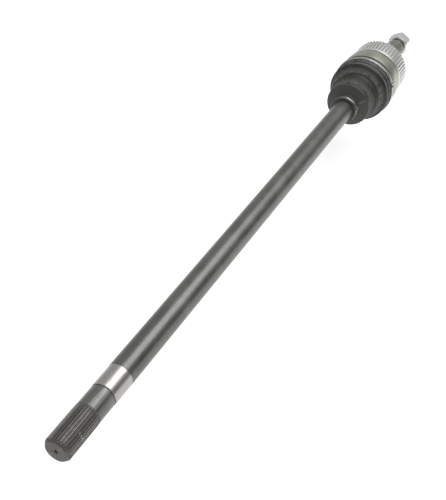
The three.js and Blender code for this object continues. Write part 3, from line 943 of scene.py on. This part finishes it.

# %% [markdown]
# ## Black shaft steel
#
# The body of the shaft is turned, hardened and dipped: a dark, even, faintly green black with a
# satin shine. Close up there are fine turning rings under the film, cloudy patches where the dip
# took unevenly, and pinhead pits left from forging. Edges are rubbed back towards bare steel.
#
# The near spline is browner, and three of its teeth carry a small painted glint, a white spot. A
# glint is a ball of white at one place in the material, and Metallic falls to 0 under it.

# %% Black shaft steel
DIP_METALLIC = 0.75
GLINT_R, GLINT_EDGE_R = 0.75, 1.05
GLINT_WHITE = (0.9, 0.9, 0.88)


def black_steel(name, dark, light, bare, rough, pitch=0.45, glints=()):
    finish, tree, shader, where = new_finish(name, Metallic=DIP_METALLIC)
    clouds = patches(tree, where, 26.0, softness=0.22)
    grain = patches(tree, where, 1.6)
    rings = lathe_rings(tree, where, pitch)
    pits = specks(tree, where, 2.2, 0.22)
    colour = coats(tree, blend_colours(tree, clouds, dark, light), (grain, 0.35, light),
                   (rings["Shade"], 0.3, dark), (pits, 0.5, dark),
                   (wear_and_shade(tree, where)["Edge"], 0.6, bare))
    metallic = DIP_METALLIC
    # each painted glint is a painted highlight: a white spot with no metal on a tooth
    for glint in glints:
        away = add_node(tree, "ShaderNodeVectorMath", {0: where["Place"], 1: glint},
                        operation="DISTANCE").outputs["Value"]
        clear = ramp(tree, away, GLINT_R, GLINT_EDGE_R)
        colour = blend_colours(tree, clear, GLINT_WHITE, colour)
        metallic = times(tree, clear, metallic)
    if glints:
        tree.links.new(metallic, shader.inputs["Metallic"])
    height = calc(tree, "SUBTRACT", times(tree, rings["Height"], 0.7), pits)
    surface(tree, shader, colour, uneven(tree, rough - 0.08, 0.08, clouds, rings["Shade"]),
            height, 0.012)
    return finish


# three painted glints, white spots on adjacent teeth of the near spline
SPLINE_GLINTS = [(22.5, 14.6 * math.cos(angle), 14.6 * math.sin(angle))
              for angle in np.radians([142, 155, 168])]
shaft_black = black_steel("black shaft steel", (0.113, 0.113, 0.105), (0.170, 0.169, 0.158),
                          (0.42, 0.41, 0.39), rough=0.35)
spline_black = black_steel("spline steel", (0.088, 0.084, 0.078), (0.135, 0.130, 0.120),
                           (0.19, 0.185, 0.175), rough=0.44, glints=SPLINE_GLINTS)
print("finishes:", shaft_black.name, "/", spline_black.name)

# %% [markdown]
# ## Bright steels
#
# The ground journal, the race, the balls, the speed ring, the nut and the clamps are all bright,
# but not alike. What differs is the gloss, how strongly the tool marks show, the tint of the
# metal or its zinc, and how dark the hollows are painted, as painted shade. One maker takes
# those values.

# %% Bright steel maker
def bright_steel(name, metal, stain, rough, marks=0.4, pitch=0.3, stained=0.35, patch=14.0,
                 hollow=0.5, depth=0.004, edge=(0.75, 0.75, 0.73)):
    finish, tree, shader, where = new_finish(name, Metallic=1.0)
    film = patches(tree, where, patch, stained, 0.18)
    rings = lathe_rings(tree, where, pitch)
    wear_and_shade_masks = wear_and_shade(tree, where)
    # the Crevice coat is painted shade: hollows blend towards the stain tone by the amount hollow
    colour = coats(tree, blend_colours(tree, times(tree, film, 0.6), metal, stain),
                   (rings["Shade"], marks * 0.4, stain), (wear_and_shade_masks["Crevice"], hollow, stain),
                   (specks(tree, where, 1.7, 0.12), 0.5, stain), (wear_and_shade_masks["Edge"], 0.6, edge))
    dull = plus(tree, times(tree, film, 0.12), times(tree, rings["Shade"], 0.08 * marks))
    surface(tree, shader, colour, plus(tree, rough, dull), rings["Height"], depth)
    return finish


ground_journal = bright_steel("ground journal steel", (0.42, 0.41, 0.395), (0.34, 0.315, 0.295),
                              rough=0.32, pitch=0.16, stained=0.25)
race_steel = bright_steel("hardened race steel", (0.50, 0.50, 0.49), (0.25, 0.24, 0.22), rough=0.22)
ball_steel = bright_steel("bearing ball steel", (0.66, 0.66, 0.66), (0.48, 0.47, 0.45), rough=0.08,
                          marks=0.1, stained=0.2, depth=0.0005)
cage_steel = black_steel("phosphated cage steel", (0.10, 0.10, 0.095), (0.15, 0.15, 0.14),
                         (0.40, 0.39, 0.37), rough=0.45, pitch=0.6)
ring_wire = bright_steel("blued spring wire", (0.20, 0.20, 0.21), (0.10, 0.10, 0.10), rough=0.35)
zinc_ring = bright_steel("zinc plated speed ring", (0.66, 0.67, 0.65), (0.46, 0.465, 0.445),
                         rough=0.36, marks=0.5, pitch=0.5, stained=0.4, patch=9.0, hollow=0.7,
                         edge=(0.78, 0.79, 0.78))
zinc_nut = bright_steel("zinc plated nut", (0.64, 0.64, 0.645), (0.42, 0.415, 0.405), rough=0.30,
                        marks=0.3, pitch=0.4, patch=7.0, edge=(0.82, 0.82, 0.82))
clamp_band = bright_steel("stainless clamp band", (0.18, 0.18, 0.177), (0.11, 0.106, 0.10),
                          rough=0.34, marks=0.2, patch=6.0)
print("finishes so far:", ", ".join(material.name for material in bpy.data.materials))

# %% [markdown]
# ## Oiled bell steel
#
# The bell is turned steel under a film of old oil, so it is an olive grey with brown patches. The
# stub is painted near black behind the speed ring, as painted shade where the ring shadows it,
# and it is lighter again on its spline. All of it is one forging, so it is one material with three
# tones, mixed softly by the station on the axle. Its hollows are darkened as painted shade.

# %% Oiled bell steel
RING_SHADE_BEGINS, RING_SHADE_ENDS = (884, 890), (936, 946)

bell_steel, tree, shader, where = new_finish("oiled bell steel", Metallic=0.9)
film = patches(tree, where, 16.0)
rust = patches(tree, where, 5.0, 0.25, 0.12)
rings = lathe_rings(tree, where, 0.5)
wear_and_shade_masks = wear_and_shade(tree, where)
oily = blend_colours(tree, film, (0.43, 0.43, 0.375), (0.29, 0.28, 0.23))
stub_tone = blend_colours(tree, film, (0.36, 0.355, 0.305), (0.25, 0.24, 0.195))
# painted shade: behind the speed ring the stub is darkened to near black, where the ring shadows it
ring_shaded = blend_colours(tree, ramp(tree, where["Along"], *RING_SHADE_BEGINS), oily, (0.085, 0.083, 0.066))
# the Crevice coat below is painted shade in the hollows
colour = coats(tree, blend_colours(tree, ramp(tree, where["Along"], *RING_SHADE_ENDS), ring_shaded, stub_tone),
               (rust, 0.5, (0.15, 0.115, 0.075)), (rings["Shade"], 0.25, (0.12, 0.12, 0.10)),
               (wear_and_shade_masks["Crevice"], 0.6, (0.06, 0.055, 0.045)), (wear_and_shade_masks["Edge"], 0.55, (0.6, 0.59, 0.55)))
surface(tree, shader, colour, uneven(tree, 0.30, 0.07, film, rings["Shade"]), rings["Height"], 0.008)
print("finish:", bell_steel.name)

# %% [markdown]
# ## Boot rubber
#
# The boot is black moulded rubber. New rubber has a waxy bloom that turns it dark grey in soft
# patches. The rims of its folds are painted lighter, partly rubbed wear and partly painted
# highlight, and its creases are darkened as painted shade. The skin is finely grained from the
# mould. The small end is painted greyer, as painted light for the bright floor that it faces, and
# that fades out by the second fold. A low specular level keeps the rest black, and there is no
# sheen, which would pale the flanks.

# %% Boot rubber
FRONT_LIGHT_ENDS = (738, 770)

rubber, tree, shader, where = new_finish("boot rubber", Metallic=0.0, Specular_IOR_Level=0.35)
bloom = patches(tree, where, 18.0, softness=0.25)
grain = patches(tree, where, 0.9, softness=0.25)
rings = lathe_rings(tree, where, 1.3)
wear_and_shade_masks = wear_and_shade(tree, where, 0.08, 6.0)
# painted light: the small end, which faces the bright floor, is made greyer
front_light = ramp(tree, where["Along"], *FRONT_LIGHT_ENDS, 0.9, 0.0)
colour = blend_colours(tree, bloom, (0.012, 0.012, 0.0112), (0.020, 0.020, 0.0188))
# the Edge coat is partly rubbed wear and partly painted highlight on the rims; the Crevice coat is
# painted shade in the creases
colour = coats(tree, blend_colours(tree, front_light, colour, (0.052, 0.052, 0.048)),
               (wear_and_shade_masks["Edge"], 0.8, (0.14, 0.14, 0.134)), (wear_and_shade_masks["Crevice"], 0.7, (0.006, 0.006, 0.006)),
               (specks(tree, where, 1.4, 0.10), 0.5, (0.06, 0.06, 0.057)))
skin = plus(tree, grain, times(tree, rings["Height"], 0.6))
surface(tree, shader, colour, uneven(tree, 0.38, 0.08, bloom, grain), skin, 0.02)
print("finish:", rubber.name)

# %% [markdown]
# ## Putting the finishes on
#
# Most pieces are one finish all over. The long shaft has three: the black body, the darker
# spline end, and the journal that was ground bright after the dip, so its faces are picked out
# by their station along the axle.

# %% Assign finishes
def dress(piece, *finishes, choose=None):
    for finish in finishes:
        piece.data.materials.append(finish)
    if choose:
        centres = np.empty(len(piece.data.polygons) * 3, np.float32)
        piece.data.polygons.foreach_get("center", centres)
        x, y, z = centres.reshape(-1, 3).T / MM
        piece.data.polygons.foreach_set("material_index", choose(x, np.hypot(y, z)).astype(np.int32))


JOURNAL_START, JOURNAL_END, UNDERCUT_R = 78, 108, 14.3
NEAR_SPLINE_END, FAR_SPLINE_START = 51.2, 803


def shaft_zone(x, r):
    ground = (x > JOURNAL_START) & (x < JOURNAL_END) & (r > UNDERCUT_R)
    spline = (x < NEAR_SPLINE_END) | (x > FAR_SPLINE_START)
    return np.where(ground, 2, np.where(spline, 1, 0))


dress(axle_shaft, shaft_black, spline_black, ground_journal, choose=shaft_zone)
dress(inner_race, race_steel)
for ball in joint_balls:
    dress(ball, ball_steel)
dress(ball_cage, cage_steel)
for ring in (stop_ring, circlip):
    dress(ring, ring_wire)
dress(bell, bell_steel)
dress(speed_ring, zinc_ring)
dress(hub_nut, zinc_nut)
for band in (small_clamp, large_clamp):
    dress(band, clamp_band)
for piece in boot:
    dress(piece, rubber)
print("finishes in use:", len(bpy.data.materials))

# %% [markdown]
# ## Riding on the frame
#
# Each piece now takes its place in the mechanism. The shaft body carries the race, the rings and
# the small cuff. The cage body carries the cage and the balls, and the bell body carries the
# speed ring, the nut and the large cuff. Every piece stands for the CAD node it refines.

# %% Ride and replace
def fit(piece, body, slot, *nodes):
    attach(piece, body)
    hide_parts(*nodes)


fit(axle_shaft, "shaft", "shaft_steel", "axle_shaft")
fit(inner_race, "shaft", "inner_steel", "inner_race")
fit(stop_ring, "shaft", "clamp_steel", "shaft_stop_ring")
fit(circlip, "shaft", "clamp_steel", "shaft_circlip")
fit(small_clamp, "shaft", "clamp_steel", "small_boot_clamp")
fit(ball_cage, "cage", "cage_steel", "ball_cage")
for number, ball in enumerate(joint_balls, 1):
    fit(ball, "cage", "inner_steel", f"ball_{number}")
fit(bell, "bell", "bell_steel", "bell_housing")
fit(speed_ring, "bell", "tone_steel", "tone_ring")
fit(hub_nut, "bell", "nut_steel", "hub_nut")
fit(large_clamp, "bell", "clamp_steel", "large_boot_clamp")

# %% [markdown]
# The two cuffs of the boot are rigid on their bodies. The four lengths between them are baked
# in place, and the CAD nodes of the second and third folds are hidden.

# %% Boot on the joint
fit(boot[0], "shaft", "boot_rubber", "boot_small_end")
fit(boot[5], "bell", "boot_rubber", "boot_large_end")
BENDS = [("shaft", "inner_fold", "boot_second_fold"), ("inner_fold", "cage", "boot_second_fold"),
         ("cage", "outer_fold", "boot_third_fold"), ("outer_fold", "bell", "boot_third_fold")]
for piece, (before, after, node), start, end in zip(boot[1:5], BENDS, BOOT_CUTS[1:], BOOT_CUTS[2:]):
    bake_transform(piece)
    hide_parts(node)
print("bending lengths:", [piece.name for piece in boot[1:5]])

# %% [markdown]
# ## Floor and light
#
# A studio lights bright metal with large white surfaces, because metal shows what it reflects.
# A long soft box hangs over the far half of the axle and beyond its end, a little to one side,
# and is seen in the shaft as a pale stripe. The room fades low down on that same side, which
# gives the dark stripe beside it. The floor is white paper that also gives off some light.
#
# The camera should see clean white, whatever the metal needs. So both the floor and the room use
# Light Path, and have one strength for the camera and another for everything else.
#
# The floor lies 68 mm below the axle's lowest point, so that the stub can swing to its limit.

# %% Floor
FLOOR_DROP, FLOOR_HALF = 0.068, 9
FLOOR_Z = CAD_BOX[0].z - FLOOR_DROP
PAPER, PAPER_SEEN = (0.80, 0.80, 0.80), (0.60, 0.60, 0.60)
PAPER_GLOW, PAPER_GLOW_SEEN = 0.42, 0.66

floor_mesh = bpy.data.meshes.new("floor")
floor_mesh.from_pydata([(x * FLOOR_HALF, y * FLOOR_HALF, FLOOR_Z)
                        for x, y in ((-1, -1), (1, -1), (1, 1), (-1, 1))], [], [(0, 1, 2, 3)])
floor = bpy.data.objects.new("floor", floor_mesh)
bpy.context.scene.collection.objects.link(floor)
paper = bpy.data.materials.new("floor paper")
paper.use_nodes = True
sheet = paper.node_tree
shader = sheet.nodes["Principled BSDF"]
shader.inputs["Roughness"].default_value = 0.9
shader.inputs["Specular IOR Level"].default_value = 0.1
shader.inputs["Emission Color"].default_value = (1, 1, 1, 1)
seen = add_node(sheet, "ShaderNodeLightPath").outputs["Is Camera Ray"]
sheet.links.new(blend_colours(sheet, seen, PAPER, PAPER_SEEN), shader.inputs["Base Color"])
sheet.links.new(ramp(sheet, seen, 0, 1, PAPER_GLOW, PAPER_GLOW_SEEN), shader.inputs["Emission Strength"])
floor_mesh.materials.append(paper)
print("floor at z =", round(1000 * FLOOR_Z, 1), "mm")

# %% Soft box
BOX_CENTRE, BOX_LONG, BOX_WIDE = Vector((1.27, -0.66, 1.6)), 1.9, 1.48
BOX_RADIANCE = 3.3

lamp = bpy.data.lights.new("overhead soft box", "AREA")
lamp.shape, lamp.size, lamp.size_y = "RECTANGLE", BOX_LONG, BOX_WIDE
lamp.energy = BOX_RADIANCE * math.pi * BOX_LONG * BOX_WIDE
stand = bpy.data.objects.new("overhead soft box", lamp)
bpy.context.scene.collection.objects.link(stand)
stand.location = BOX_CENTRE
stand.rotation_euler = Vector((0, 0, -BOX_CENTRE.z)).to_track_quat("-Z", "Y").to_euler()
print("soft box:", round(lamp.energy, 1), "W over", BOX_LONG, "x", BOX_WIDE, "m")

# %% Room
ROOM_LOW, ROOM_HIGH, ROOM_SEEN = 0.12, 0.58, 0.95
LIFT_START, LIFT_END, LIFT_UP = -0.6, 0.3, 1.2

world = bpy.data.worlds.new("studio")
bpy.context.scene.world = world
world.use_nodes = True
air = world.node_tree
direction = add_node(air, "ShaderNodeTexCoord").outputs["Generated"]
aim = add_node(air, "ShaderNodeSeparateXYZ", {0: direction}).outputs
lift = plus(air, aim[1], times(air, aim[2], LIFT_UP))
glow = ramp(air, lift, LIFT_START, LIFT_END, ROOM_LOW, ROOM_HIGH)
seen = add_node(air, "ShaderNodeLightPath").outputs["Is Camera Ray"]
strength = plus(air, times(air, glow, calc(air, "SUBTRACT", 1.0, seen)), times(air, seen, ROOM_SEEN))
air.links.new(strength, air.nodes["Background"].inputs["Strength"])
air.nodes["Background"].inputs["Color"].default_value = (1, 1, 1, 1)
bpy.context.scene.view_settings.view_transform = "Standard"
print("room light from", ROOM_LOW, "low down to", ROOM_HIGH, "above")

# %% [markdown]
# ## The size of the part
#
# The box of the CAD model is written out in millimetres.

# %% Sizes
print("cad box mm:", [[round(1000 * v, 1) for v in c] for c in CAD_BOX])
